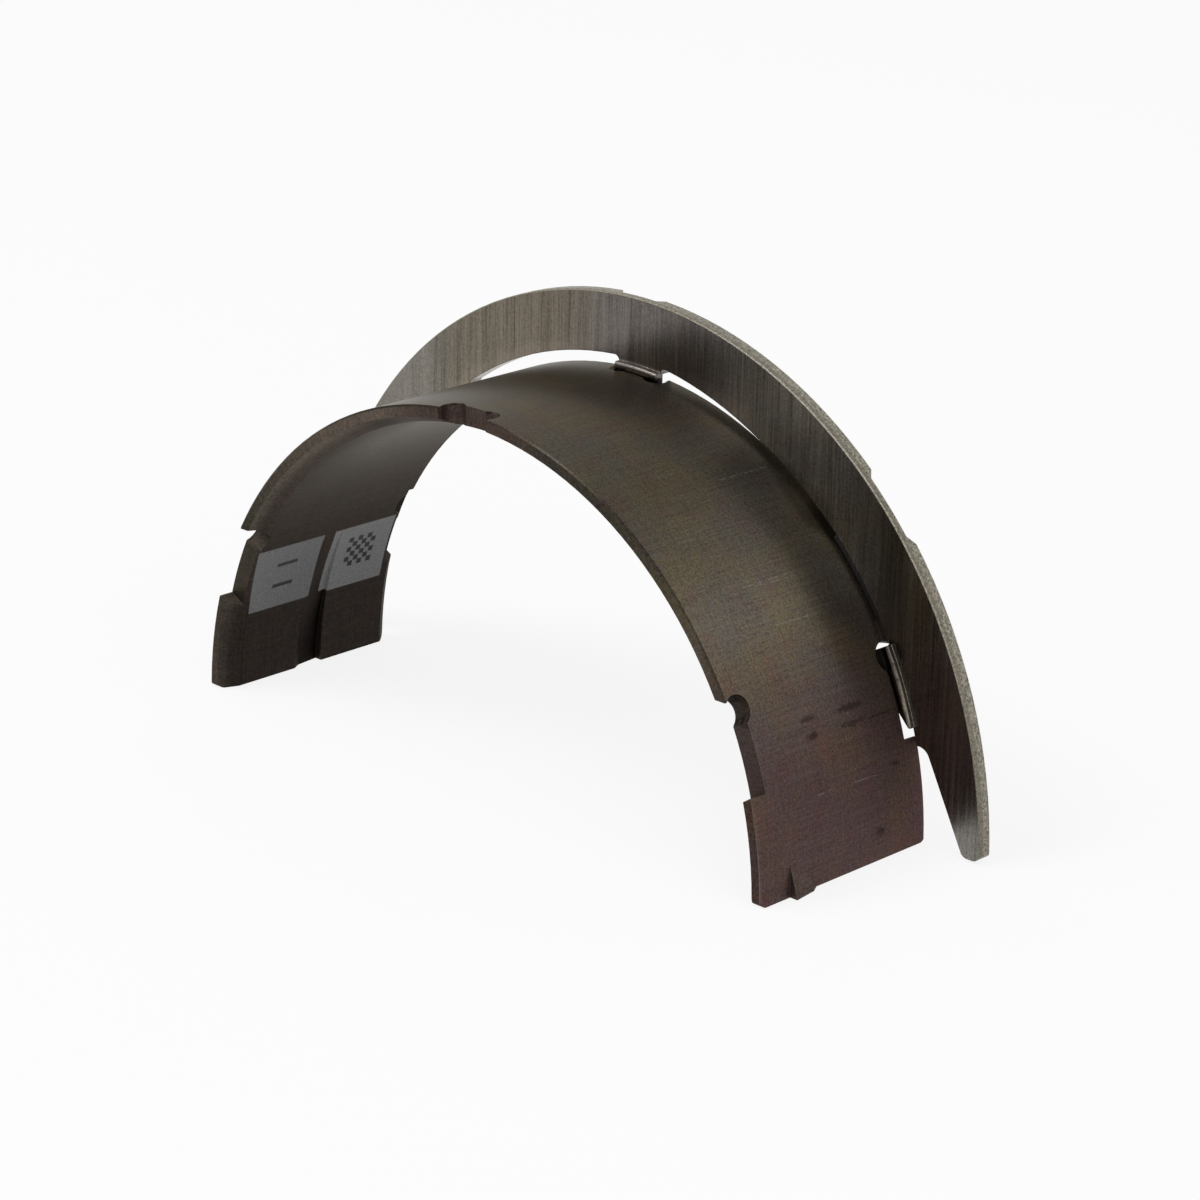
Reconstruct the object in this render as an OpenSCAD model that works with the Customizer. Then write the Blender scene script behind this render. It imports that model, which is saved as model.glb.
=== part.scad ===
// Upper half of a thin-wall crankshaft main bearing with a half thrust washer clipped to its rear edge.
// The bearing axis runs along Y. The front edge is at -Y, the washer at +Y, the crown at +Z. The shell is free, and so
// sprung open a little: its parting faces lie just above the axis. The origin is on the axis, at the middle of the
// shell's width. Heights are measured from the axis, sizes are in millimetres.

/* [Shell] */
// Outside diameter of the shell, which is the bore of its housing
shell_od = 80; // [76:0.5:100]
// Thickness of the shell's wall
wall = 2.15; // [1.9:0.05:3]
// Width of the shell along the bearing axis
shell_w = 23.8; // [20:0.1:36]
// Depth of the chamfers along both edges of the running surface
bore_chamfer = 0.95; // [0.3:0.05:1.4]
// Width of the front one of those chamfers along the bearing axis
front_chamfer_w = 2.2; // [0.5:0.1:2.5]
// Width of the rear one of those chamfers along the bearing axis
rear_chamfer_w = 1.25; // [0.5:0.05:2.5]
// Broken edge along both sides of the back
back_chamfer = 0.2; // [0.05:0.05:0.3]
// Radius of the four foot corners
foot_corner_r = 0.8; // [0.4:0.1:2]
// Height of the parting faces, which the free spread of the shell lifts off the axis
free_rise = 0.6; // [0:0.1:1.2]

/* [Edge cut-outs] */
// Depth of the cut-outs in both edges of the shell
notch_depth = 1.9; // [1.8:0.1:2.3]
// Height of the side cut-outs' lower wall at the back
side_notch_low = 11.25; // [9:0.05:13]
// Slope of that wall, down to the running surface, in degrees
side_notch_slope = 28; // [10:1:35]
// Height of the side cut-outs' upper wall
side_notch_high = 19.75; // [18.5:0.05:20.5]
// Width of the top cut-outs
top_notch_w = 6.8; // [5:0.1:10]
// Distance of the top cut-outs from the middle, to opposite sides front and rear, so that a washer fits one way
top_notch_offset = 1; // [0:0.1:2]
// Radius of the rounded pockets in the upper corners of the side cut-outs
side_pocket_r = 1.5; // [1.2:0.1:1.8]
// How much deeper than its cut-out a side pocket goes
side_pocket_deep = 0.9; // [0.3:0.1:1.2]
// How far a side pocket goes past the cut-out's upper wall
side_pocket_past = 0.7; // [0.5:0.05:1]
// Radius of the rounded pockets in the corners of the top cut-outs
top_pocket_r = 1.2; // [0.8:0.1:1.6]
// How much deeper than its cut-out a top pocket goes
top_pocket_deep = 0.5; // [0.1:0.05:0.7]
// How far a top pocket goes past the cut-out's wall
top_pocket_past = 0.2; // [0.1:0.05:0.4]

/* [Locating lugs] */
// Width of a lug along the bearing axis
lug_w = 3.8; // [2.5:0.1:6]
// Height of the top of a lug on the back of the shell
lug_h = 3.9; // [2.5:0.1:6]
// How far a lug stands out of the back at the parting face
lug_out = 0.9; // [0.6:0.05:1.2]
// Length of the steep end of a lug
lug_end = 1; // [0.5:0.1:1.5]
// How much less a lug stands out where its steep end starts
lug_fall = 0.35; // [0.1:0.05:0.5]
// Height to which the pressed groove behind a lug runs up the running surface
lug_groove_h = 16.6; // [10:0.1:20]
// Distance of the right lug's sheared wall from the front edge
right_lug_at = 4.1; // [3:0.1:8]
// Distance of the left lug's sheared wall from the front edge
left_lug_at = 13.9; // [11:0.1:16]

/* [Thrust washer] */
// Distance of the washer's rim from the shell's back
washer_w = 7.6; // [6:0.1:12]
// Thickness of the washer
washer_t = 1.7; // [1.4:0.1:2.6]
// How far the washer's plain face lies inside the rear edge of the shell
washer_set_in = 1; // [0.7:0.05:1.1]
// Broken edge along the rim
rim_chamfer = 0.15; // [0.05:0.05:0.3]
// Clearance of the locating lands round the shell's back
land_clear = 0.1; // [0.05:0.05:0.3]
// Angle above the parting faces at which a locating land starts
land_from = 33.5; // [33:0.5:38]
// Angle above the parting faces at which a locating land ends
land_to = 46.5; // [42:0.5:56]
// Clearance of the inner edge round the shell's back, away from the lands
inner_clear = 0.6; // [0.4:0.05:0.7]
// Clearance of the inner edge in the relief to the left of the top tab
top_clear = 1.25; // [1:0.05:1.6]
// Angle over which that relief runs to the left of the top
top_relief_left = 35; // [15:0.5:36]
// Angle over which the end of that relief tapers off
top_relief_taper = 4; // [1:0.5:6]
// Clearance of the relief to the right of the top tab, at the top
right_clear = 1.55; // [1.4:0.05:1.7]
// How far to the left of the axis that relief is centred, so that it runs out to the right
right_lean = 2.1; // [1.8:0.1:3]
// Radius of the inner corners beside the top tab
top_fillet_r = 0.7; // [0.3:0.05:0.9]
// Radius of the inner corners above the side tabs
side_fillet_r = 0.4; // [0.1:0.05:0.4]
// Radius of the corners of the feet
washer_corner_r = 0.9; // [0.3:0.1:1.2]

/* [Washer feet] */
// Distance of the feet above the parting faces
foot_gap = 0.3; // [0.1:0.1:0.8]
// Width of a foot at its base
foot_w = 2.1; // [1.6:0.1:3.5]
// Distance of the top of the slanting relief below the side cut-out's lower wall
foot_relief_drop = 0.6; // [0.2:0.1:2]
// Width of that relief at its top
foot_relief_w = 1.2; // [1:0.1:1.8]
// Radius of that relief's upper corner
foot_relief_r = 1.4; // [0.4:0.1:1.5]

/* [Tabs] */
// Clearance of the top tab from each wall of its cut-out
tab_clear = 0.55; // [0.2:0.05:0.6]
// Clearance of the tabs from the floor of their cut-outs
tab_floor_clear = 0.2; // [0.2:0.05:0.5]
// How far the tabs reach back into the washer's plane, where they are coined thin
tab_join = 0.4; // [0.3:0.05:1]
// How far the tabs end short of the running surface
tab_end_back = 0.95; // [0.6:0.05:1.4]
// Distance outside the shell's back at which the tabs step down from the washer's face
tab_step_out = 0.75; // [0.3:0.05:0.9]
// How much smaller than that the hollows behind the tabs are
press_clear = 0.1; // [0.05:0.05:0.3]
// Height above the side cut-outs' lower wall at which the slanting lower side of a side tab starts
side_tab_rise = 1.2; // [0.8:0.1:3]
// Clearance of a side tab from the top of its pocket
side_tab_clear = 0.7; // [0.5:0.05:1.2]
// Radius of the rounded front edge of the pressed tabs
tab_edge_r = 0.3; // [0.1:0.05:0.35]

/* [Oil grooves] */
// Width of the oil grooves at the thrust face
oil_groove_w = 6.3; // [3:0.1:10]
// Depth of the oil grooves
oil_groove_depth = 0.9; // [0.4:0.05:1]
// Sideways run of each groove flank
oil_groove_flank = 0.8; // [0.2:0.1:1.2]
// Distance of the two outer grooves from the middle
oil_groove_at = 33.7; // [25:0.1:38]

/* [Hidden] */

$fn = 96;
// Run of a cutting solid past the surface that it cuts, and of a joining one into what it joins
over = 1;
// How much larger a rounding circle is drawn, so that it crosses the sides of its corner and doesn't just touch them
cross = 0.002;

shell_r = shell_od / 2;
bore_r = shell_r - wall;
front_y = -shell_w / 2;
rear_y = shell_w / 2;

notch_floor_y = rear_y - notch_depth;
side_pocket_y = notch_floor_y - side_pocket_deep + side_pocket_r;
side_pocket_z = side_notch_high + side_pocket_past - side_pocket_r;
top_pocket_y = notch_floor_y - top_pocket_deep + top_pocket_r;
// Distance of a top pocket's centre from the middle of its cut-out
top_pocket_x = top_notch_w / 2 + top_pocket_past - top_pocket_r;
// The side pockets are bored in to the axis
side_pocket_angle = asin(side_pocket_z / shell_r);
// Point at the back where the lower wall of the right side cut-outs ends
side_notch_corner = [sqrt(shell_r * shell_r - side_notch_low * side_notch_low), side_notch_low];

washer_r = shell_r + washer_w;
washer_y = rear_y - washer_set_in;
thrust_y = washer_y + washer_t;
inner_r = shell_r + inner_clear;
top_relief_r = shell_r + top_clear;
right_relief_r = shell_r + right_clear;
// Direction of the middle of the top tab
top_tab_angle = acos(top_notch_offset / shell_r);

foot_base_h = free_rise + foot_gap;
foot_relief_h = side_notch_low - foot_relief_drop;
foot_relief_x = sqrt(inner_r * inner_r - foot_relief_h * foot_relief_h) + foot_relief_w;
foot_base_x = washer_r - foot_w;
// Direction of the slanting relief, from the base up and inward
foot_slant = atan2(foot_relief_h - foot_base_h, foot_relief_x - foot_base_x);

// Tabs are pressed forward from the washer's plane, until they clear the floor of their cut-outs
tab_step = notch_depth - washer_set_in - tab_floor_clear;
tab_front_y = washer_y - tab_step;
tab_rear_y = washer_y + tab_join;
tab_end_r = bore_r + tab_end_back;
tab_step_r = shell_r + tab_step_out;
top_tab_w = top_notch_w - 2 * tab_clear;
// The upper side of a side tab is radial
side_tab_angle = asin((side_notch_high + side_pocket_past - side_tab_clear) / shell_r);
// Point on the inner edge where the slanting lower side of a side tab starts
side_tab_low = side_notch_low + side_tab_rise;
side_tab_low_x = sqrt(inner_r * inner_r - side_tab_low * side_tab_low);

// Unit vector at an angle in the plane
function direction(angle) = [cos(angle), sin(angle)];

// Centre of a circle of radius r that stands lug_out outside radius r at the parting face of the right leg,
// and that meets radius r again at the given height
function lug_centre(r, height) =
    let (
        low = [r + lug_out, free_rise],
        high = r * direction(asin(height / r)),
        half = norm(high - low) / 2,
        along = (high - low) / (2 * half),
        outward = [along.y, -along.x]
    )
    (low + high) / 2 - sqrt(r * r - half * half) * outward;

// Outline, drawn in the X-Z plane as seen from the front, as a solid from y0 to y0 + length
module along_axis(y0, length) {
    translate([0, y0 + length, 0])
        rotate([90, 0, 0])
            linear_extrude(length)
                children();
}

// Half a turn about the bearing axis, on the side of the crown, of a section drawn as [radius, -y]
module half_turn() {
    rotate([90, 0, 0])
        rotate_extrude(angle = 180)
            children();
}

// Part of the plane between two angles at the bearing axis, reaching well past the washer's rim
module wedge(from, to) {
    reach = 2 * washer_r;
    polygon([
        [0, 0],
        reach * direction(from),
        reach * direction((from + to) / 2),
        reach * direction(to)
    ]);
}

module flat_ring(inner, outer) {
    difference() {
        circle(r = outer);
        circle(r = inner);
    }
}

// Sliver between a corner and the circle that rounds it. The corner's sides leave at angles a and b, and the
// sliver runs past the corner, so that it either cuts a corner round or fills one.
module corner_sliver(corner, a, b, r) {
    half = (b - a) / 2;
    middle = direction((a + b) / 2);
    start = corner + r / tan(half) * direction(a);
    end = corner + r / tan(half) * direction(b);
    centre = corner + r / sin(half) * middle;
    difference() {
        polygon([centre, start, start - over * middle, end - over * middle, end]);
        translate(centre)
            circle(r = r + cross);
    }
}

module both_sides() {
    children();
    mirror([1, 0, 0])
        children();
}

// Half ring of the shell's wall with its chamfers and broken edges
module shell_ring() {
    half_turn()
        polygon([
            [bore_r + bore_chamfer, -front_y],
            [shell_r - back_chamfer, -front_y],
            [shell_r, -front_y - back_chamfer],
            [shell_r, -rear_y + back_chamfer],
            [shell_r - back_chamfer, -rear_y],
            [bore_r + bore_chamfer, -rear_y],
            [bore_r, -rear_y + rear_chamfer_w],
            [bore_r, -front_y - front_chamfer_w]
        ]);
}

// Cones that give a lug or its groove on the right leg. They are full at the sheared wall, y = at, and slope away
// to nothing over the lug's width, to the rear for toward = 1 and to the front for toward = -1.
module lug_cone(r, height, at, toward) {
    centre = lug_centre(r, height);
    slope_w = lug_w - lug_end;
    translate([centre.x, at, centre.y])
        rotate([-90 * toward, 0, 0]) {
            cylinder(h = slope_w, r1 = r, r2 = r - lug_fall);
            translate([0, 0, slope_w])
                cylinder(h = lug_end, r1 = r - lug_fall, r2 = r - lug_out);
        }
}

// Metal of a lug outside the right leg, rooted in the middle of the wall behind its groove
module lug(at, toward) {
    root_x = bore_r + (wall + lug_out) / 2;
    intersection() {
        lug_cone(shell_r, lug_h, at, toward);
        translate([root_x, at - lug_w, free_rise])
            cube([wall + lug_out, 2 * lug_w, lug_h]);
    }
}

// Groove that pressing a lug leaves in the running surface of the right leg
module lug_groove(at, toward) {
    lug_cone(bore_r, lug_groove_h, at, toward);
}

// Side cut-out of the right leg at the rear edge: sloping lower wall, level upper wall, and a round pocket
module side_notch() {
    slope = direction(side_notch_slope);
    along_axis(notch_floor_y, notch_depth + over)
        polygon([
            side_notch_corner - 2 * wall * slope,
            side_notch_corner + wall * slope,
            [shell_r + wall, side_notch_high],
            [bore_r / 2, side_notch_high]
        ]);
    translate([0, side_pocket_y, 0])
        rotate([0, 90 - side_pocket_angle, 0])
            translate([0, 0, bore_r / 2])
                cylinder(h = shell_r, r = side_pocket_r);
}

// Top cut-out at the rear edge, with a round pocket in each corner
module top_notch() {
    translate([top_notch_offset - top_notch_w / 2, notch_floor_y, bore_r / 2])
        cube([top_notch_w, notch_depth + over, shell_r]);
    for (side = [-1, 1])
        translate([top_notch_offset + side * top_pocket_x, top_pocket_y, bore_r / 2])
            cylinder(h = shell_r, r = top_pocket_r);
}

// Rounding of the foot corners at the rear edge, across both legs
module foot_rounding() {
    translate([-shell_od, 0, free_rise])
        rotate([90, 0, 90])
            linear_extrude(2 * shell_od)
                corner_sliver([rear_y, 0], 90, 180, foot_corner_r);
}

// What lies below the parting faces
module below_parting() {
    translate([-shell_od, -shell_w, free_rise - shell_od])
        cube([2 * shell_od, 2 * shell_w, shell_od]);
}

module bearing_shell() {
    color([0.30, 0.27, 0.25])
        difference() {
            union() {
                shell_ring();
                lug(front_y + right_lug_at, 1);
                mirror([1, 0, 0])
                    lug(front_y + left_lug_at, -1);
            }
            lug_groove(front_y + right_lug_at, 1);
            mirror([1, 0, 0])
                lug_groove(front_y + left_lug_at, -1);
            // The front edge is the rear edge turned half round the vertical
            for (turn = [0, 180])
                rotate([0, 0, turn]) {
                    both_sides()
                        side_notch();
                    top_notch();
                    foot_rounding();
                }
            below_parting();
        }
}

// Slanting relief above the right foot, and the foot's round corners
module foot_cuts() {
    difference() {
        polygon([
            [bore_r, foot_base_h - over],
            [foot_base_x, foot_base_h - over],
            [foot_base_x, foot_base_h],
            [foot_relief_x, foot_relief_h],
            [bore_r, foot_relief_h]
        ]);
        corner_sliver([foot_relief_x, foot_relief_h], 180, 180 + foot_slant, foot_relief_r);
    }
    corner_sliver([foot_base_x, foot_base_h], 0, foot_slant, washer_corner_r);
    corner_sliver([washer_r, foot_base_h], 90, 180, washer_corner_r);
}

// Metal that rounds the inner corners beside the top tab and above the side tabs
module tab_fillets() {
    left_angle = acos((top_notch_offset - top_tab_w / 2) / top_relief_r);
    corner_sliver(top_relief_r * direction(left_angle), left_angle + 90, 270, top_fillet_r);
    right_angle = acos((top_notch_offset + top_tab_w / 2 + right_lean) / right_relief_r);
    right_corner = right_relief_r * direction(right_angle) - [right_lean, 0];
    corner_sliver(right_corner, -90, right_angle - 90, top_fillet_r);
    both_sides()
        corner_sliver(inner_r * direction(side_tab_angle), side_tab_angle + 90, side_tab_angle + 180, side_fillet_r);
}

// Reliefs of the inner edge on both sides of the top tab. The left one ends with a short slant, the right one is bored
// off the axis and runs out.
module top_reliefs() {
    left_foot = inner_r * direction(90 + top_relief_left + top_relief_taper);
    left_top = top_relief_r * direction(90 + top_relief_left);
    intersection() {
        circle(r = top_relief_r);
        polygon([[0, 0], 2 * washer_r * direction(top_tab_angle), 2 * left_top - left_foot, left_foot]);
    }
    intersection() {
        translate([-right_lean, 0])
            circle(r = right_relief_r);
        wedge(land_to, top_tab_angle);
    }
}

// The washer's half ring without its tabs, a little too large at the rim
module ring_outline() {
    difference() {
        flat_ring(inner_r, washer_r + over);
        top_reliefs();
        both_sides()
            foot_cuts();
        translate([-2 * washer_r, foot_base_h - 2 * washer_r])
            square([4 * washer_r, 2 * washer_r]);
    }
    both_sides()
        intersection() {
            flat_ring(shell_r + land_clear, inner_r + over);
            wedge(land_from, land_to);
        }
}

// Tab at the top, as wide as its cut-out allows
module top_tab_outline() {
    translate([top_notch_offset - top_tab_w / 2, 0])
        square([top_tab_w, washer_r]);
}

// Tab of the right leg: radial above, slanting up and inward below
module side_tab_outline() {
    reach = side_tab_low_x + side_tab_low;
    polygon([
        reach / (cos(side_tab_angle) + sin(side_tab_angle)) * direction(side_tab_angle),
        [side_tab_low_x, side_tab_low],
        [side_tab_low_x + over, side_tab_low],
        washer_r * direction(side_tab_angle)
    ]);
}

// The parts of the three tabs between two radii
module tab_outlines(inner, outer) {
    intersection() {
        union() {
            both_sides()
                side_tab_outline();
            top_tab_outline();
        }
        flat_ring(inner, outer);
    }
}

// Blank that gives the pressed tabs their length, their thickness and their round front edge
module tab_blank() {
    half_turn()
        difference() {
            translate([tab_end_r, -tab_rear_y])
                square([tab_step_r - tab_end_r, tab_rear_y - tab_front_y]);
            corner_sliver([tab_step_r, -tab_front_y], 180, 270, tab_edge_r);
        }
}

// Blank between the washer's two faces that gives the rim its size and its broken edges
module washer_blank() {
    half_turn()
        polygon([
            [bore_r / 2, -washer_y],
            [washer_r - rim_chamfer, -washer_y],
            [washer_r, -washer_y - rim_chamfer],
            [washer_r, -thrust_y + rim_chamfer],
            [washer_r - rim_chamfer, -thrust_y],
            [bore_r / 2, -thrust_y]
        ]);
}

// Oil groove straight up the thrust face
module oil_groove(x) {
    floor_y = thrust_y - oil_groove_depth;
    floor_half = oil_groove_w / 2 - oil_groove_flank;
    top_half = floor_half + oil_groove_flank * (oil_groove_depth + over) / oil_groove_depth;
    translate([x, 0, -over])
        linear_extrude(washer_r + 2 * over)
            polygon([
                [-floor_half, floor_y],
                [floor_half, floor_y],
                [top_half, thrust_y + over],
                [-top_half, thrust_y + over]
            ]);
}

module thrust_washer() {
    color([0.45, 0.44, 0.42])
        union() {
            difference() {
                intersection() {
                    along_axis(washer_y - over, washer_t + 2 * over) {
                        ring_outline();
                        // Necks of the tabs, in the washer's own plane
                        tab_outlines(shell_r + land_clear, top_relief_r + over);
                        tab_fillets();
                    }
                    washer_blank();
                }
                for (x = [-oil_groove_at, 0, oil_groove_at])
                    oil_groove(x);
                // Hollows that pressing and coining the tabs leaves in the thrust face
                along_axis(tab_rear_y, washer_t + over)
                    tab_outlines(bore_r, tab_step_r - press_clear);
            }
            // Tabs, pressed forward out of the washer's plane
            intersection() {
                along_axis(tab_front_y - over, washer_t + 2 * over)
                    tab_outlines(bore_r, top_relief_r);
                tab_blank();
            }
        }
}

bearing_shell();
thrust_washer();
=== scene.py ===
import math
from types import SimpleNamespace

import bpy
from mathutils import Matrix, Vector


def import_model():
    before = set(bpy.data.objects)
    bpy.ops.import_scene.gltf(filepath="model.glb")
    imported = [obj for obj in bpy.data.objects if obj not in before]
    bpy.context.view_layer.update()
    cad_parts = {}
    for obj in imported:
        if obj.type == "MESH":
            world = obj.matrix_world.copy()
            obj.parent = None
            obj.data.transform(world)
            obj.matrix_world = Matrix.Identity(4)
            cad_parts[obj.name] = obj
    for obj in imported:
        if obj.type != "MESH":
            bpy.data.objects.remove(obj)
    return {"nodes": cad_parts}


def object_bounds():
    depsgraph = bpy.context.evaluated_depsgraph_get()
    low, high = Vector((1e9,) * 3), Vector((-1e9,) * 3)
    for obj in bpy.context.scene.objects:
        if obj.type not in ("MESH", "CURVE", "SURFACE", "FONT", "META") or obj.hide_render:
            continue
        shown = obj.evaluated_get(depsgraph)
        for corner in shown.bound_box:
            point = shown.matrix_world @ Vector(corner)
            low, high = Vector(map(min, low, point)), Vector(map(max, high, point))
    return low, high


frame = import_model()
cad_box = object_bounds()

# Sizes of the part in millimetres: radii about the bearing axis, and places along it
SHELL_R = 40.0
BORE_R = 37.85
CHAMFER_R = 38.8
CHAMFER_LINE = -9.35
HALF_WIDTH = 11.9
WASHER_FRONT = 10.9
WASHER_R = 47.6
TAB_STEP_R = 40.75
INNER_R = 40.6


# Node helpers. A value is a number, a colour or an output socket.

def feed(socket, value):
    if isinstance(value, bpy.types.NodeSocket):
        socket.id_data.links.new(value, socket)
    elif value is not None:
        socket.default_value = value


def maths(tree, operation, a, b=None, c=None):
    node = tree.nodes.new("ShaderNodeMath")
    node.operation = operation
    feed(node.inputs[0], a)
    feed(node.inputs[1], b)
    feed(node.inputs[2], c)
    return node.outputs[0]


def add(tree, a, b):
    return maths(tree, "ADD", a, b)


def sub(tree, a, b):
    return maths(tree, "SUBTRACT", a, b)


def mul(tree, a, b):
    return maths(tree, "MULTIPLY", a, b)


def larger(tree, a, b):
    return maths(tree, "MAXIMUM", a, b)


def step(tree, value, low, high):
    """0 below low, 1 above high, smooth between. With low above high it falls."""
    node = tree.nodes.new("ShaderNodeMapRange")
    node.interpolation_type = "SMOOTHSTEP"
    falls = low > high
    feed(node.inputs["Value"], value)
    node.inputs["From Min"].default_value = min(low, high)
    node.inputs["From Max"].default_value = max(low, high)
    node.inputs["To Min"].default_value = 1.0 if falls else 0.0
    node.inputs["To Max"].default_value = 0.0 if falls else 1.0
    return node.outputs["Result"]


def band(tree, value, low, high, soft):
    """1 between low and high, with soft ends."""
    rise = step(tree, value, low - soft, low + soft)
    fall = step(tree, value, high + soft, high - soft)
    return mul(tree, rise, fall)


def span(tree, value, low, high):
    """A 0 to 1 value stretched to low to high."""
    return maths(tree, "MULTIPLY_ADD", value, high - low, low)


def vector(tree, x, y, z):
    node = tree.nodes.new("ShaderNodeCombineXYZ")
    feed(node.inputs[0], x)
    feed(node.inputs[1], y)
    feed(node.inputs[2], z)
    return node.outputs[0]


def noise(tree, coordinates, scale=1.0, detail=2.0, roughness=0.5):
    node = tree.nodes.new("ShaderNodeTexNoise")
    feed(node.inputs["Vector"], coordinates)
    node.inputs["Scale"].default_value = scale
    node.inputs["Detail"].default_value = detail
    node.inputs["Roughness"].default_value = roughness
    return node.outputs[0]


def colour(value):
    """Three numbers get an alpha of 1. Other values pass as they are."""
    if isinstance(value, tuple) and len(value) == 3:
        return (*value, 1.0)
    return value


def mix(tree, factor, a, b, way="MIX"):
    node = tree.nodes.new("ShaderNodeMix")
    node.data_type = "RGBA"
    node.blend_type = way
    feed(node.inputs[0], factor)
    feed(node.inputs[6], colour(a))
    feed(node.inputs[7], colour(b))
    return node.outputs[2]


def times(tree, a, b):
    """One colour times another."""
    return mix(tree, 1.0, a, b, "MULTIPLY")


def dim(tree, colour_in, factor):
    """The colour times a grey factor."""
    return times(tree, colour_in, vector(tree, factor, factor, factor))


def ramp(tree, value, stops):
    """Colour along a list of stops, each a place from 0 to 1 and a colour."""
    node = tree.nodes.new("ShaderNodeValToRGB")
    feed(node.inputs[0], value)
    points = node.color_ramp.elements
    while len(points) < len(stops):
        points.new(1.0)
    for point, (place, shade) in zip(points, stops):
        point.position = place
        point.color = colour(shade)
    return node.outputs[0]


def empty_material(name):
    surface = bpy.data.materials.new(name)
    surface.use_nodes = True
    tree = surface.node_tree
    tree.nodes.clear()
    out = tree.nodes.new("ShaderNodeOutputMaterial")
    return surface, tree, out


def material(name):
    surface, tree, out = empty_material(name)
    shader = tree.nodes.new("ShaderNodeBsdfPrincipled")
    tree.links.new(shader.outputs[0], out.inputs[0])
    return surface, tree, shader


def millimetres(tree):
    """The place on the part: x, y, z and radius in millimetres, and the angle in degrees."""
    where = tree.nodes.new("ShaderNodeTexCoord")
    scaled = tree.nodes.new("ShaderNodeVectorMath")
    scaled.operation = "SCALE"
    feed(scaled.inputs[0], where.outputs["Object"])
    scaled.inputs["Scale"].default_value = 1000.0
    parts = tree.nodes.new("ShaderNodeSeparateXYZ")
    feed(parts.inputs[0], scaled.outputs[0])
    x, y, z = parts.outputs
    radius = maths(tree, "SQRT", add(tree, mul(tree, x, x), mul(tree, z, z)))
    angle = mul(tree, maths(tree, "ARCTAN2", z, x), 180.0 / math.pi)
    return SimpleNamespace(x=x, y=y, z=z, radius=radius, angle=angle)


def facing(tree):
    """How squarely the surface faces along the bearing axis, from 0 to 1, and how far it faces up."""
    surface = tree.nodes.new("ShaderNodeNewGeometry")
    parts = tree.nodes.new("ShaderNodeSeparateXYZ")
    feed(parts.inputs[0], surface.outputs["True Normal"])
    return maths(tree, "ABSOLUTE", parts.outputs[1]), parts.outputs[2]


def relief(tree, height, distance, edge):
    """Normal from fine surface height over edges that are a little rounded. Both lengths are in metres."""
    bevel = tree.nodes.new("ShaderNodeBevel")
    bevel.samples = 6
    bevel.inputs["Radius"].default_value = edge
    bump = tree.nodes.new("ShaderNodeBump")
    bump.inputs["Strength"].default_value = 1.0
    bump.inputs["Distance"].default_value = distance
    feed(bump.inputs["Height"], height)
    feed(bump.inputs["Normal"], bevel.outputs[0])
    return bump.outputs[0]


# Shell: satin steel with a warm oxide tint and a painted highlight band on the back, darker on the running
# surface, partly its own colour and partly painted shade inside the arch

# Ranges over which masks fade: radii within the wall, and the way from the crown to the left leg
BACK_FADE = (39.0, 39.6)
OUTSIDE_FADE = (39.5, 39.8)
INSIDE_FADE = (39.2, 39.0)
LEFT_FADE = (-2.0, -12.0)
# How squarely a face looks along the axis: edge faces, chamfers of the bore, broken outer edges
FLANK_FACING = (0.80, 0.92)
CHAMFER_FACING = (0.28, 0.75)
OUTER_EDGE_FACING = (0.45, 0.88)

# Tints from the feet, at 0, to the crown, at 1; the brighter, yellower band near 0.44 is partly temper
# colour and partly a painted highlight
BACK_TINTS = [
    (0.00, (0.086, 0.056, 0.054)),
    (0.20, (0.082, 0.055, 0.051)),
    (0.32, (0.088, 0.070, 0.062)),
    (0.44, (0.118, 0.102, 0.082)),
    (0.54, (0.088, 0.076, 0.060)),
    (0.68, (0.060, 0.052, 0.041)),
    (1.00, (0.070, 0.062, 0.052)),
]
LEFT_EDGE_TINTS = [
    (0.05, (0.062, 0.048, 0.038)),
    (0.33, (0.034, 0.031, 0.022)),
    (0.67, (0.090, 0.070, 0.056)),
]
# Running surface: its own dark colour with painted shade inside the arch, deepest at the feet
BORE_FOOT = (0.026, 0.020, 0.017)
BORE_CROWN = (0.062, 0.054, 0.048)
WARMER = (1.16, 1.10, 0.88)
MORE_VIOLET = (1.02, 0.90, 0.96)
# Chamfers of the bore: bare metal with painted shade
CHAMFER_INNER = (0.036, 0.028, 0.024)
CHAMFER_OUTER = (0.066, 0.055, 0.045)
LEFT_POCKET = (0.050, 0.041, 0.034)
# Painted light on the upward-facing lower walls of the side cut-outs
LIT_LOWER_WALL = (0.090, 0.075, 0.059)
CROWN_CUT = (0.066, 0.046, 0.039)
LUG = (0.105, 0.087, 0.062)
BRIGHT_SCRATCH = (0.24, 0.22, 0.20)
# Painted highlight on the outer edges at the feet
EDGE_HIGHLIGHT = (0.17, 0.15, 0.125)
REFLECTION_TINT = (0.65, 0.63, 0.60, 1.0)

# Zones of the chamfers, edges, cut-outs and grooves, in millimetres
CHAMFER_BRIGHTENS = (6.0, 14.0)
OUTER_EDGE_DARKENS = (12.0, 20.0)
OUTER_EDGE_HIGHLIGHTED = (12.0, 6.0)
POCKET_ASIDE = (9.0, 10.05)
POCKET_HEIGHT = (17.0, 20.6)
POCKET_DARKENS = (18.4, 19.6)
LOWER_WALL_BELOW = (12.0, 11.6)
CROWN_CUT_ACROSS = (-9.0, 7.0)
CROWN_CUT_FROM = (-7.0, -8.0)
GROOVE_WIDTH = (-1.6, 2.05)

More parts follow.
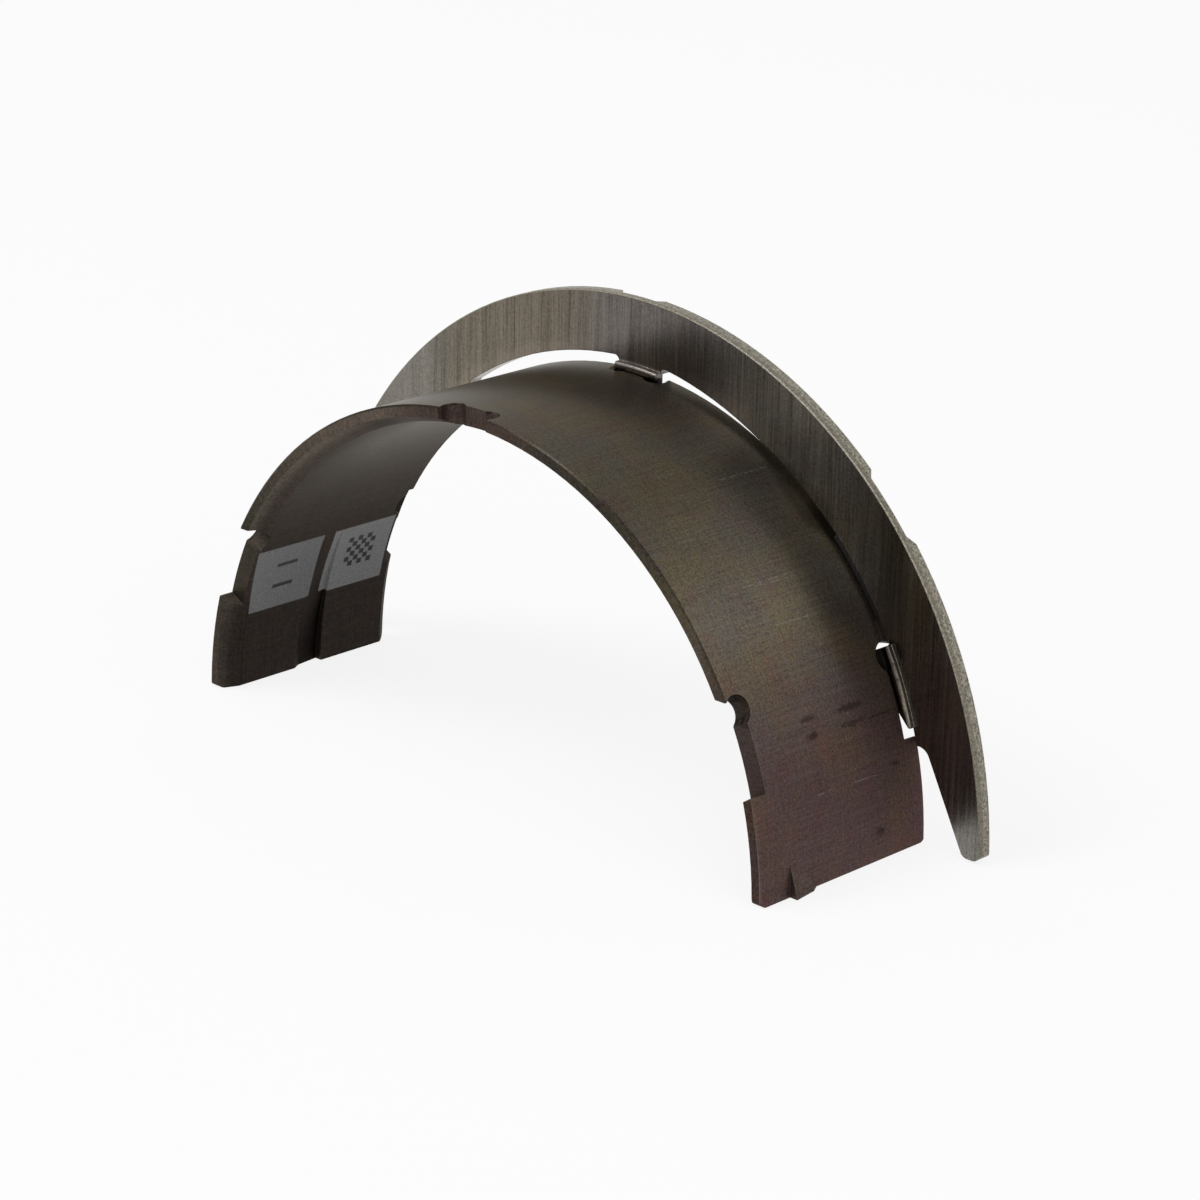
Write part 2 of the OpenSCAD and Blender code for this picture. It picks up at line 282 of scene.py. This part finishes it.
# Painted shade and reflection of the washer on the back beside it, and painted shade behind its right
# land: angles in degrees, the rest in millimetres
SLIM_SHADE_TOP = (74.0, 52.0)
SLIM_SHADE_FOOT = (42.5, 51.0)
SLIM_SHADE_WIDTH = 3.2
WIDE_SHADE_TOP = (55.0, 50.0)
WIDE_SHADE_FOOT = (28.0, 38.0)
WIDE_SHADE_FROM = (2.6, 5.0)
LAND_FROM = (10.7, 10.9)
LAND_HEIGHT = (20.0, 25.0)
LAND_ACROSS = (10.0, 20.0)

# Rubbed marks as centre and half size, and scratches as two ends, in arc length and place along the axis
MARKS = [
    ((16.66, -2.3), (0.32, 1.1)),
    ((15.0, -2.2), (0.42, 0.9)),
    ((16.4, 3.8), (0.40, 1.9)),
    ((14.8, 3.4), (0.32, 1.6)),
    ((9.6, 8.1), (0.22, 0.8)),
    ((3.5, 5.3), (0.5, 0.6)),
    ((14.7, 7.4), (0.16, 2.6)),
]
SCRATCHES = [
    ((42.2, 3.0), (42.1, 9.8)),
    ((30.5, -3.6), (30.5, 3.8)),
    ((30.2, -1.0), (30.1, 4.6)),
    ((26.1, -2.9), (25.9, 4.0)),
    ((9.3, 2.2), (9.2, 5.1)),
    ((9.4, -3.3), (9.5, -1.1)),
]
SCRATCH_HALF_WIDTH = 0.05

# Printed fields on the running surface: angles in degrees, places along the axis in millimetres
FIELD_ANGLES = (154.0, 166.35)
FIELD_SOFT = 0.08
FRONT_FIELD_START = -9.45
FRONT_FIELD_START_ANGLE = 160.4
FRONT_FIELD_SLANT = 0.055
FRONT_FIELD_END = -0.6
REAR_FIELD = (1.0, 9.7)
BAR_ANGLES = [(157.6, 158.3), (161.8, 162.5)]
BAR_WIDTH = (-6.4, -3.6)
CHEQUER_ANGLES = (156.5, 162.5)
CHEQUER_WIDTH = (3.6, 7.6)
CHEQUERS_PER_DEGREE = 0.5
CHEQUERS_PER_MM = 0.75
# Ink greys: the ink is pale grey-white, darkened here by painted shade from inside the arch
INK_FRONT = (0.144, 0.146, 0.147)
INK_REAR = (0.198, 0.199, 0.199)
INK_DARK = (0.02, 0.02, 0.02)


def shell_places(tree):
    """Where on the shell: arc length on the back, height from foot to crown, and the kinds of face."""
    at = millimetres(tree)
    at.arc = mul(tree, at.angle, SHELL_R * math.pi / 180.0)
    at.spot = vector(tree, at.arc, at.y, at.radius)
    at.aside = maths(tree, "ABSOLUTE", at.y)
    at.up = sub(tree, 1.0, maths(tree, "ABSOLUTE", sub(tree, mul(tree, at.angle, 1.0 / 90.0), 1.0)))
    at.left = step(tree, at.x, *LEFT_FADE)
    at.along, at.upward = facing(tree)
    at.flank = step(tree, at.along, *FLANK_FACING)
    at.back = larger(tree, step(tree, at.radius, *BACK_FADE), at.flank)
    at.outside = step(tree, at.radius, *OUTSIDE_FADE)
    at.inside = step(tree, at.radius, *INSIDE_FADE)
    at.on_bore = step(tree, at.radius, BORE_R + 0.16, BORE_R + 0.08)
    return at


def shell_textures(tree, at):
    """Clouds, patches and grain, and streaks along the axis and round it."""
    along_axis = vector(tree, mul(tree, at.arc, 4.5), mul(tree, at.y, 0.12), at.radius)
    round_axis = vector(tree, mul(tree, at.arc, 0.12), mul(tree, at.y, 4.5), at.radius)
    return SimpleNamespace(
        cloud=noise(tree, at.spot, 0.10, 3.0),
        patchy=noise(tree, at.spot, 0.33, 3.0),
        grain=noise(tree, at.spot, 5.0, 3.0, 0.6),
        axial=noise(tree, along_axis, 1.0, 3.0),
        round_way=noise(tree, round_axis, 1.0, 3.0),
    )


def oxide_tint_and_painted_light(tree, at, texture):
    """Tint from the feet up to the crown, the same on both sides, with warm clouds and violet patches. Its
    brighter yellow band is partly a painted highlight, and the running surface carries painted shade.
    """
    tint = ramp(tree, at.up, BACK_TINTS)
    tint = mix(tree, step(tree, texture.cloud, 0.42, 0.62), tint, times(tree, tint, WARMER))
    tint = mix(tree, step(tree, texture.patchy, 0.50, 0.68), tint, times(tree, tint, MORE_VIOLET))
    # Running surface: its own dark colour with painted shade inside the arch, deepest at the feet
    bore = mix(tree, step(tree, at.up, 0.25, 0.75), BORE_FOOT, BORE_CROWN)
    return mix(tree, at.back, bore, tint)


def edge_faces(tree, at, base):
    """The edge faces are duller, and brighten up the left side of the arch."""
    left_edge = ramp(tree, at.up, LEFT_EDGE_TINTS)
    return mix(tree, at.flank, base, mix(tree, at.left, dim(tree, base, 0.60), left_edge))


def chamfers(tree, at, base):
    """The chamfers beside the running surface are bare metal with painted shade: darker, lighter up the
    left of the arch and darker near the feet, with a darker line at the sharp inner edge.
    """
    sloped = band(tree, at.along, *CHAMFER_FACING, 0.04)
    sloped = mul(tree, sloped, step(tree, at.radius, CHAMFER_R + 0.08, CHAMFER_R))
    front_end = mul(tree, at.on_bore, step(tree, at.y, CHAMFER_LINE, CHAMFER_LINE - 0.1))
    outer = step(tree, at.radius, BORE_R + 0.30, CHAMFER_R - 0.05)
    shaded_chamfer = mix(tree, outer, CHAMFER_INNER, CHAMFER_OUTER)
    rising = mul(tree, at.left, step(tree, at.up, 0.30, 0.70))
    above_feet = step(tree, at.z, *CHAMFER_BRIGHTENS)
    shaded_chamfer = dim(tree, shaded_chamfer, mul(tree, span(tree, rising, 1.0, 1.8), span(tree, above_feet, 0.65, 1.0)))
    base = mix(tree, larger(tree, sloped, front_end), base, shaded_chamfer)
    sharp = mul(tree, band(tree, at.y, CHAMFER_LINE - 0.10, CHAMFER_LINE + 0.04, 0.08), at.on_bore)
    return dim(tree, base, span(tree, sharp, 1.0, 0.55))


def cut_faces(tree, at, base):
    """Cut faces between the running surface and the back, with painted shade in the right-hand pockets and
    painted light on the lower walls. Gives the colour, and where it is dull.
    """
    cut = band(tree, at.radius, BORE_R + 0.10, SHELL_R - 0.07, 0.03)
    # Pockets of the side cut-outs: painted shade on the right, deepening higher up, and a fixed dark
    # colour on the left
    pocket = mul(tree, band(tree, at.aside, *POCKET_ASIDE, 0.05), band(tree, at.z, *POCKET_HEIGHT, 0.1))
    pocket = mul(tree, cut, pocket)
    sunk = dim(tree, base, span(tree, step(tree, at.z, *POCKET_DARKENS), 0.75, 0.30))
    base = mix(tree, pocket, base, mix(tree, at.left, sunk, LEFT_POCKET))
    # Painted light on the upward-facing lower walls of the side cut-outs
    wall = mul(tree, step(tree, at.upward, 0.5, 0.7), step(tree, at.z, *LOWER_WALL_BELOW))
    wall = mul(tree, cut, wall)
    base = mix(tree, wall, base, LIT_LOWER_WALL)
    # Walls of the front cut-out at the crown
    crown = mul(tree, band(tree, at.x, *CROWN_CUT_ACROSS, 4.0), step(tree, at.y, *CROWN_CUT_FROM))
    crown = mul(tree, cut, crown)
    base = mix(tree, crown, base, CROWN_CUT)
    return base, larger(tree, larger(tree, pocket, wall), crown)


def painted_groove_shade(tree, at, base):
    """Painted shade darkening the groove behind the left lug."""
    groove = mul(tree, band(tree, at.y, *GROOVE_WIDTH, 0.2), step(tree, at.x, 0.0, -1.0))
    sunk = mul(tree, step(tree, at.radius, BORE_R + 0.08, BORE_R + 0.60), at.inside)
    return dim(tree, base, span(tree, mul(tree, groove, sunk), 1.0, 0.35))


def painted_washer_shade(tree, at, base):
    """Painted shade and reflection of the washer on the back beside it, and painted shade behind the right
    land. Gives the colour, and the place behind the right land.
    """
    near = mul(tree, step(tree, at.angle, *SLIM_SHADE_TOP), step(tree, at.angle, *SLIM_SHADE_FOOT))
    limit = span(tree, near, HALF_WIDTH, HALF_WIDTH - SLIM_SHADE_WIDTH)
    slim = mul(tree, step(tree, sub(tree, at.y, limit), -0.7, 0.6), step(tree, near, 0.0, 0.3))
    wide = mul(tree, step(tree, at.angle, *WIDE_SHADE_TOP), step(tree, at.angle, *WIDE_SHADE_FOOT))
    wide = mul(tree, wide, step(tree, at.y, *WIDE_SHADE_FROM))
    behind = mul(tree, band(tree, at.z, *LAND_HEIGHT, 0.3), step(tree, at.x, *LAND_ACROSS))
    behind = mul(tree, behind, step(tree, at.y, *LAND_FROM))
    shade = mul(tree, span(tree, slim, 1.0, 0.55), span(tree, wide, 1.0, 0.80))
    shade = mul(tree, shade, span(tree, behind, 1.0, 0.2))
    return mix(tree, at.outside, base, dim(tree, base, shade)), behind


def pale_lugs(tree, at, base):
    """The lugs stand out of the back and are a little paler."""
    raised = step(tree, at.radius, SHELL_R + 0.05, SHELL_R + 0.15)
    return mix(tree, mul(tree, raised, 0.35), base, LUG)


def fine_marks(tree, at, texture, base):
    """Fine marks of rolling and sizing, and a faint play of oxide colours."""
    fine = add(tree, span(tree, texture.grain, 0.00, 2.00), span(tree, texture.axial, -0.34, 0.34))
    fine = add(tree, fine, span(tree, texture.round_way, -0.24, 0.24))
    fine = add(tree, fine, span(tree, noise(tree, at.spot, 2.1, 2.0, 0.6), -0.35, 0.35))
    base = dim(tree, base, fine)
    elsewhere = vector(tree, add(tree, at.arc, 50.0), at.y, at.radius)
    red = span(tree, noise(tree, at.spot, 1.7, 3.0, 0.65), 0.72, 1.28)
    blue = span(tree, noise(tree, elsewhere, 1.7, 3.0, 0.65), 0.62, 1.38)
    return times(tree, base, vector(tree, red, 1.0, blue))


def smudge(tree, at, wobble, centre, half_size):
    """Soft mark on the back with a ragged outline."""
    a = maths(tree, "DIVIDE", sub(tree, at.arc, centre[0]), half_size[0])
    b = maths(tree, "DIVIDE", sub(tree, at.y, centre[1]), half_size[1])
    far = maths(tree, "SQRT", add(tree, mul(tree, a, a), mul(tree, b, b)))
    return step(tree, add(tree, far, wobble), 1.3, 0.5)


def rubbed_marks(tree, at, base):
    """Dark rubbed marks on the back of the right leg. Gives the colour, and where the marks are."""
    wobble = span(tree, noise(tree, at.spot, 1.6, 3.0), -0.9, 0.9)
    dark = 0.0
    for centre, half_size in MARKS:
        dark = larger(tree, dark, smudge(tree, at, wobble, centre, half_size))
    dark = mul(tree, dark, at.back)
    return dim(tree, base, span(tree, dark, 1.0, 0.55)), dark


def scratch(tree, at, start, end):
    """Thin line on the back from start to end."""
    slope = (end[0] - start[0]) / (end[1] - start[1])
    line = maths(tree, "MULTIPLY_ADD", sub(tree, at.y, start[1]), slope, start[0])
    off = maths(tree, "ABSOLUTE", sub(tree, at.arc, line))
    across = step(tree, off, 2.0 * SCRATCH_HALF_WIDTH, 0.3 * SCRATCH_HALF_WIDTH)
    return mul(tree, across, band(tree, at.y, start[1], end[1], 0.6))


def scratches(tree, at, base):
    """Fine bright scratches along the axis, broken here and there."""
    stretched = vector(tree, mul(tree, at.arc, 0.4), mul(tree, at.y, 1.4), 0.0)
    broken = step(tree, noise(tree, stretched, 1.0, 2.0), 0.40, 0.56)
    light = 0.0
    for start, end in SCRATCHES:
        light = larger(tree, light, scratch(tree, at, start, end))
    light = mul(tree, mul(tree, light, broken), at.back)
    return mix(tree, mul(tree, light, 0.45), base, BRIGHT_SCRATCH)


def outer_edges(tree, at, texture, base):
    """The broken outer edges carry painted shade high on the arch, and a painted highlight in patches at
    the feet.
    """
    facet = band(tree, at.along, *OUTER_EDGE_FACING, 0.04)
    facet = mul(tree, facet, step(tree, at.radius, SHELL_R - 0.30, SHELL_R - 0.22))
    facet = mul(tree, facet, step(tree, at.z, *OUTER_EDGE_DARKENS))
    base = dim(tree, base, span(tree, facet, 1.0, 0.40))
    edge = step(tree, at.aside, HALF_WIDTH - 0.10, HALF_WIDTH - 0.03)
    edge = mul(tree, edge, step(tree, at.radius, SHELL_R - 0.28, SHELL_R - 0.20))
    edge = mul(tree, edge, step(tree, at.z, *OUTER_EDGE_HIGHLIGHTED))
    return mix(tree, mul(tree, edge, texture.patchy), base, EDGE_HIGHLIGHT)


def chequer(tree, at):
    """Plain chequer of two tones."""
    a = maths(tree, "FRACT", mul(tree, sub(tree, at.angle, CHEQUER_ANGLES[0]), CHEQUERS_PER_DEGREE))
    b = maths(tree, "FRACT", mul(tree, sub(tree, at.y, CHEQUER_WIDTH[0]), CHEQUERS_PER_MM))
    same = maths(tree, "COMPARE", maths(tree, "ROUND", a), maths(tree, "ROUND", b), 0.1)
    area = mul(tree, band(tree, at.angle, *CHEQUER_ANGLES, 0.05), band(tree, at.y, *CHEQUER_WIDTH, 0.05))
    return mul(tree, area, same)


def printed_fields(tree, at, texture, base):
    """Two pale fields on the running surface of the left leg. Gives the colour, and where they are."""
    slant = mul(tree, sub(tree, at.angle, FRONT_FIELD_START_ANGLE), FRONT_FIELD_SLANT)
    past_start = sub(tree, at.y, add(tree, slant, FRONT_FIELD_START))
    front = step(tree, past_start, -FIELD_SOFT, FIELD_SOFT)
    front = mul(tree, front, step(tree, at.y, FRONT_FIELD_END + FIELD_SOFT, FRONT_FIELD_END - FIELD_SOFT))
    rear = band(tree, at.y, *REAR_FIELD, FIELD_SOFT)
    printed = mul(tree, band(tree, at.angle, *FIELD_ANGLES, 0.12), at.inside)
    printed = mul(tree, printed, add(tree, front, rear))
    # The ink is pale grey-white; these greys carry painted shade from inside the arch
    ink = mix(tree, step(tree, at.y, -1.0, 1.0), INK_FRONT, INK_REAR)
    ink = dim(tree, ink, span(tree, texture.grain, 0.3, 1.7))
    # Two plain bars on the front field, a chequer on the rear one
    drawn = chequer(tree, at)
    for angles in BAR_ANGLES:
        bar = mul(tree, band(tree, at.angle, *angles, 0.1), band(tree, at.y, *BAR_WIDTH, 0.08))
        drawn = larger(tree, drawn, bar)
    ink = mix(tree, drawn, ink, INK_DARK)
    return mix(tree, printed, base, ink), printed


def shell_material():
    surface, tree, shader = material("shell_satin")
    at = shell_places(tree)
    texture = shell_textures(tree, at)

    base = oxide_tint_and_painted_light(tree, at, texture)
    base = edge_faces(tree, at, base)
    base = chamfers(tree, at, base)
    base, cut_dull = cut_faces(tree, at, base)
    base = painted_groove_shade(tree, at, base)
    base, behind = painted_washer_shade(tree, at, base)
    base = pale_lugs(tree, at, base)
    base = fine_marks(tree, at, texture, base)
    base, dark = rubbed_marks(tree, at, base)
    base = scratches(tree, at, base)
    base = outer_edges(tree, at, texture, base)
    base, printed = printed_fields(tree, at, texture, base)

    rough = add(tree, span(tree, texture.cloud, 0.24, 0.36), span(tree, texture.grain, -0.05, 0.05))
    rough = add(tree, rough, mul(tree, dark, 0.12))
    rough = add(tree, rough, mul(tree, step(tree, at.up, 0.34, 0.14), 0.24))
    rough = add(tree, rough, mul(tree, printed, 0.3))
    rough = add(tree, rough, mul(tree, larger(tree, cut_dull, behind), 0.3))
    height = add(tree, mul(tree, texture.grain, 0.5), mul(tree, texture.axial, 0.5))

    feed(shader.inputs["Base Color"], base)
    feed(shader.inputs["Metallic"], span(tree, printed, 0.95, 0.05))
    shader.inputs["Specular Tint"].default_value = REFLECTION_TINT
    feed(shader.inputs["Roughness"], rough)
    feed(shader.inputs["Normal"], relief(tree, height, 4.0e-6, 1.2e-4))
    return surface


# Washer: straight-ground steel, with a sheared and torn rim

# Tones of the ground face in upright bands, from 50 mm left of the axis, at 0, to 50 mm right, at 1
FACE_TONES = [
    (0.10, (0.200, 0.184, 0.160)),
    (0.18, (0.192, 0.178, 0.157)),
    (0.24, (0.165, 0.143, 0.112)),
    (0.40, (0.148, 0.126, 0.098)),
    (0.46, (0.138, 0.123, 0.112)),
    (0.58, (0.128, 0.113, 0.104)),
    (0.68, (0.255, 0.256, 0.260)),
    (0.78, (0.430, 0.430, 0.440)),
    (0.85, (0.132, 0.122, 0.110)),
    (0.91, (0.200, 0.184, 0.158)),
    (0.96, (0.200, 0.187, 0.170)),
]
THRUST_FACE = (0.170, 0.155, 0.135)
# Tabs and inner edge: a dark brown that is partly their finish from the press and partly painted shade,
# and near-black painted shade in hidden places
PRESSED_AND_SHADED = (0.062, 0.050, 0.040)
HIDDEN_SHADE = (0.006, 0.005, 0.004)
SHEARED = (0.175, 0.158, 0.122)
TORN = (0.232, 0.214, 0.170)
# Painted highlight along the rim's front edge
RIM_HIGHLIGHT = (0.44, 0.42, 0.36)

# Zones of the washer, in millimetres
STREAKS_GROW = (-36.0, -24.0)
RUBBED_WITHIN = (43.0, 41.4)
RUBBED_ABOVE = (28.0, 34.0)
PRESSED_BELOW = (33.0, 31.0)
PRESSED_BRIGHTENS = (19.0, 12.0)
HIDDEN_WITHIN = (40.0, 39.6)
HIDDEN_ABOVE = (20.2, 21.0)
RIM_EDGE_ACROSS = (5.0, 20.0)
RIM_EDGE_ABOVE = (12.0, 22.0)
ROUGHER_FEET = (9.0, 3.0)


def washer_textures(tree, at):
    """Upright lines of the grinding at three widths, grain, and the torn look of the rim."""
    spot = vector(tree, at.x, at.y, at.z)

    def upright(x_scale, y_scale, z_scale):
        return vector(tree, mul(tree, at.x, x_scale), mul(tree, at.y, y_scale), mul(tree, at.z, z_scale))

    return SimpleNamespace(
        lines=noise(tree, upright(5.0, 5.0, 0.10), 1.0, 3.0, 0.6),
        broad=noise(tree, upright(0.6, 1.0, 0.04), 1.0, 2.0),
        deep=noise(tree, upright(2.6, 1.0, 0.07), 1.0, 2.0),
        grain=noise(tree, spot, 5.0, 3.0, 0.6),
        torn=noise(tree, spot, 4.0, 4.0, 0.7),
    )


def ground_face(tree, at, texture):
    """Streaks of the grinding, faint at the far left, and a rubbed zone along the inner edge."""
    tone = ramp(tree, maths(tree, "MULTIPLY_ADD", at.x, 0.01, 0.5), FACE_TONES)
    thrust_side = step(tree, at.y, WASHER_FRONT + 0.3, WASHER_FRONT + 0.6)
    tone = mix(tree, thrust_side, tone, THRUST_FACE)
    streaks = add(tree, span(tree, texture.lines, -0.75, 0.75), span(tree, texture.broad, -0.45, 0.45))
    streaks = sub(tree, streaks, mul(tree, step(tree, texture.deep, 0.56, 0.70), 0.28))
    streaks = mul(tree, streaks, span(tree, step(tree, at.x, *STREAKS_GROW), 0.4, 1.0))
    rubbed = mul(tree, step(tree, at.radius, *RUBBED_WITHIN), step(tree, at.z, *RUBBED_ABOVE))
    brightness = add(tree, streaks, span(tree, texture.grain, 0.4, 1.6))
    brightness = add(tree, brightness, mul(tree, rubbed, 0.2))
    return dim(tree, tone, brightness)


def pressed_and_shaded_tabs(tree, at, texture, face):
    """The side tabs and the inner edge get a dark brown that is partly their finish from the press and
    partly painted shade, with near-black painted shade in hidden places. Gives the colour, and the dark
    hidden places.
    """
    tab = step(tree, at.radius, TAB_STEP_R + 0.02, TAB_STEP_R - 0.05)
    tab = mul(tree, tab, step(tree, at.y, WASHER_FRONT - 0.02, WASHER_FRONT - 0.10))
    inner = step(tree, at.radius, INNER_R + 0.05, INNER_R + 0.02)
    tab = mul(tree, larger(tree, tab, inner), step(tree, at.z, *PRESSED_BELOW))
    pressed_and_shaded = dim(tree, PRESSED_AND_SHADED, span(tree, texture.grain, 0.2, 1.8))
    pressed_and_shaded = dim(tree, pressed_and_shaded, span(tree, step(tree, at.z, *PRESSED_BRIGHTENS), 0.6, 1.3))
    hidden = larger(tree, step(tree, at.radius, *HIDDEN_WITHIN), step(tree, at.z, *HIDDEN_ABOVE))
    pressed_and_shaded = mix(tree, hidden, pressed_and_shaded, HIDDEN_SHADE)
    return mix(tree, mul(tree, tab, 0.9), face, pressed_and_shaded), mul(tree, hidden, tab)


def torn_rim(tree, at, texture):
    """The rim is sheared at the front and torn behind, with a painted highlight along the front edge on
    the right.
    """
    sheared = dim(tree, SHEARED, span(tree, texture.torn, -0.4, 2.4))
    torn = dim(tree, TORN, span(tree, texture.torn, -1.2, 3.2))
    look = mix(tree, step(tree, at.y, WASHER_FRONT + 0.45, WASHER_FRONT + 0.75), sheared, torn)
    edge = step(tree, at.y, WASHER_FRONT + 0.12, WASHER_FRONT + 0.06)
    edge = mul(tree, edge, step(tree, at.x, *RIM_EDGE_ACROSS))
    edge = mul(tree, edge, step(tree, at.z, *RIM_EDGE_ABOVE))
    edge = mul(tree, edge, step(tree, texture.torn, 0.35, 0.60))
    return mix(tree, mul(tree, edge, 0.6), look, RIM_HIGHLIGHT)


def washer_material():
    surface, tree, shader = material("washer_ground")
    at = millimetres(tree)
    texture = washer_textures(tree, at)
    rim = step(tree, at.radius, WASHER_R - 0.20, WASHER_R - 0.08)

    face = ground_face(tree, at, texture)
    face, hidden = pressed_and_shaded_tabs(tree, at, texture, face)
    base = mix(tree, rim, face, torn_rim(tree, at, texture))

    rough = add(tree, span(tree, texture.lines, 0.16, 0.28), mul(tree, rim, 0.16))
    rough = add(tree, rough, mul(tree, hidden, 0.6))
    rough = add(tree, rough, mul(tree, step(tree, at.z, *ROUGHER_FEET), 0.06))
    height = mix(tree, rim, span(tree, texture.lines, 0.0, 0.5), mul(tree, texture.torn, 10.0))

    feed(shader.inputs["Base Color"], base)
    shader.inputs["Metallic"].default_value = 1.0
    shader.inputs["Anisotropic"].default_value = 0.5
    feed(shader.inputs["Tangent"], vector(tree, 1.0, 0.0, 0.0))
    feed(shader.inputs["Roughness"], rough)
    feed(shader.inputs["Normal"], relief(tree, height, 1.0e-5, 1.0e-4))
    return surface


frame["nodes"]["bearing_shell"].data.materials[0] = shell_material()
frame["nodes"]["thrust_washer"].data.materials[0] = washer_material()


# Stage, in metres: a floor that stays white to the eye and in reflections, and takes the part's shadow

WHITE = (1.0, 1.0, 1.0, 1.0)
PAPER = (0.85, 0.85, 0.85, 1.0)
PAPER_GLOW = 0.85
FLOOR_HALF = 3.0
FLOOR_GAP = 0.00002
SKY_LIGHT = 0.55
LAMP_TARGET = Vector((0.0, 0.0, 0.02))


def seen_directly(tree):
    """1 for rays from the camera, off glossy surfaces or through clear ones."""
    path = tree.nodes.new("ShaderNodeLightPath")
    seen = larger(tree, path.outputs["Is Camera Ray"], path.outputs["Is Glossy Ray"])
    return larger(tree, seen, path.outputs["Is Transmission Ray"])


def floor():
    corners = [(x * FLOOR_HALF, y * FLOOR_HALF, 0.0) for x, y in ((-1, -1), (1, -1), (1, 1), (-1, 1))]
    mesh = bpy.data.meshes.new("floor")
    mesh.from_pydata(corners, [], [(0, 1, 2, 3)])
    o = bpy.data.objects.new("floor", mesh)
    o.location.z = cad_box[0][2] - FLOOR_GAP
    bpy.context.scene.collection.objects.link(o)
    surface, tree, out = empty_material("floor_white")
    paper = tree.nodes.new("ShaderNodeBsdfDiffuse")
    paper.inputs["Color"].default_value = PAPER
    glow = tree.nodes.new("ShaderNodeEmission")
    glow.inputs["Color"].default_value = WHITE
    glow.inputs["Strength"].default_value = 1.0
    blend = tree.nodes.new("ShaderNodeMixShader")
    feed(blend.inputs[0], mul(tree, seen_directly(tree), PAPER_GLOW))
    tree.links.new(paper.outputs[0], blend.inputs[1])
    tree.links.new(glow.outputs[0], blend.inputs[2])
    tree.links.new(blend.outputs[0], out.inputs[0])
    mesh.materials.append(surface)


def world():
    studio = bpy.data.worlds.new("studio")
    bpy.context.scene.world = studio
    studio.use_nodes = True
    tree = studio.node_tree
    sky = tree.nodes["Background"]
    sky.inputs["Color"].default_value = WHITE
    feed(sky.inputs["Strength"], span(tree, seen_directly(tree), SKY_LIGHT, 1.0))


def lamp(name, place, size, power):
    """Square soft lamp that faces the part."""
    data = bpy.data.lights.new(name, "AREA")
    data.shape = "SQUARE"
    data.size = size
    data.energy = power
    o = bpy.data.objects.new(name, data)
    o.location = place
    o.rotation_mode = "QUATERNION"
    o.rotation_quaternion = (LAMP_TARGET - Vector(place)).to_track_quat("-Z", "Y")
    bpy.context.scene.collection.objects.link(o)


floor()
world()
lamp("key", (-0.35, -0.45, 0.75), 0.5, 4.0)
lamp("fill", (0.75, -0.2, 0.5), 0.6, 2.0)


# Camera at the photo's place, in metres, with the direction, height and slight roll of the view in degrees

CAMERA_PLACE = (0.25284, -0.25254, 0.14532)
CAMERA_AZIMUTH = 44.27
CAMERA_ELEVATION = 19.6
CAMERA_ROLL = 1.05
FOCAL_PIXELS = 3752.5
IMAGE_PIXELS = 1200.0
SENSOR_WIDTH = 36.0


def camera():
    data = bpy.data.cameras.new("camera")
    data.sensor_width = SENSOR_WIDTH
    data.lens = FOCAL_PIXELS / IMAGE_PIXELS * SENSOR_WIDTH
    data.clip_start = 0.01
    data.clip_end = 20.0
    o = bpy.data.objects.new("camera", data)
    azimuth = math.radians(CAMERA_AZIMUTH)
    elevation = math.radians(CAMERA_ELEVATION)
    roll = math.radians(CAMERA_ROLL)
    back = Vector((
        math.sin(azimuth) * math.cos(elevation),
        -math.cos(azimuth) * math.cos(elevation),
        math.sin(elevation),
    ))
    level = Vector((math.cos(azimuth), math.sin(azimuth), 0.0))
    upright = back.cross(level)
    right = level * math.cos(roll) + upright * math.sin(roll)
    up = back.cross(right)
    turn = Matrix((right, up, back)).transposed()
    o.matrix_world = Matrix.Translation(CAMERA_PLACE) @ turn.to_4x4()
    bpy.context.scene.collection.objects.link(o)
    bpy.context.scene.camera = o


camera()
bpy.context.scene.view_settings.view_transform = "Standard"
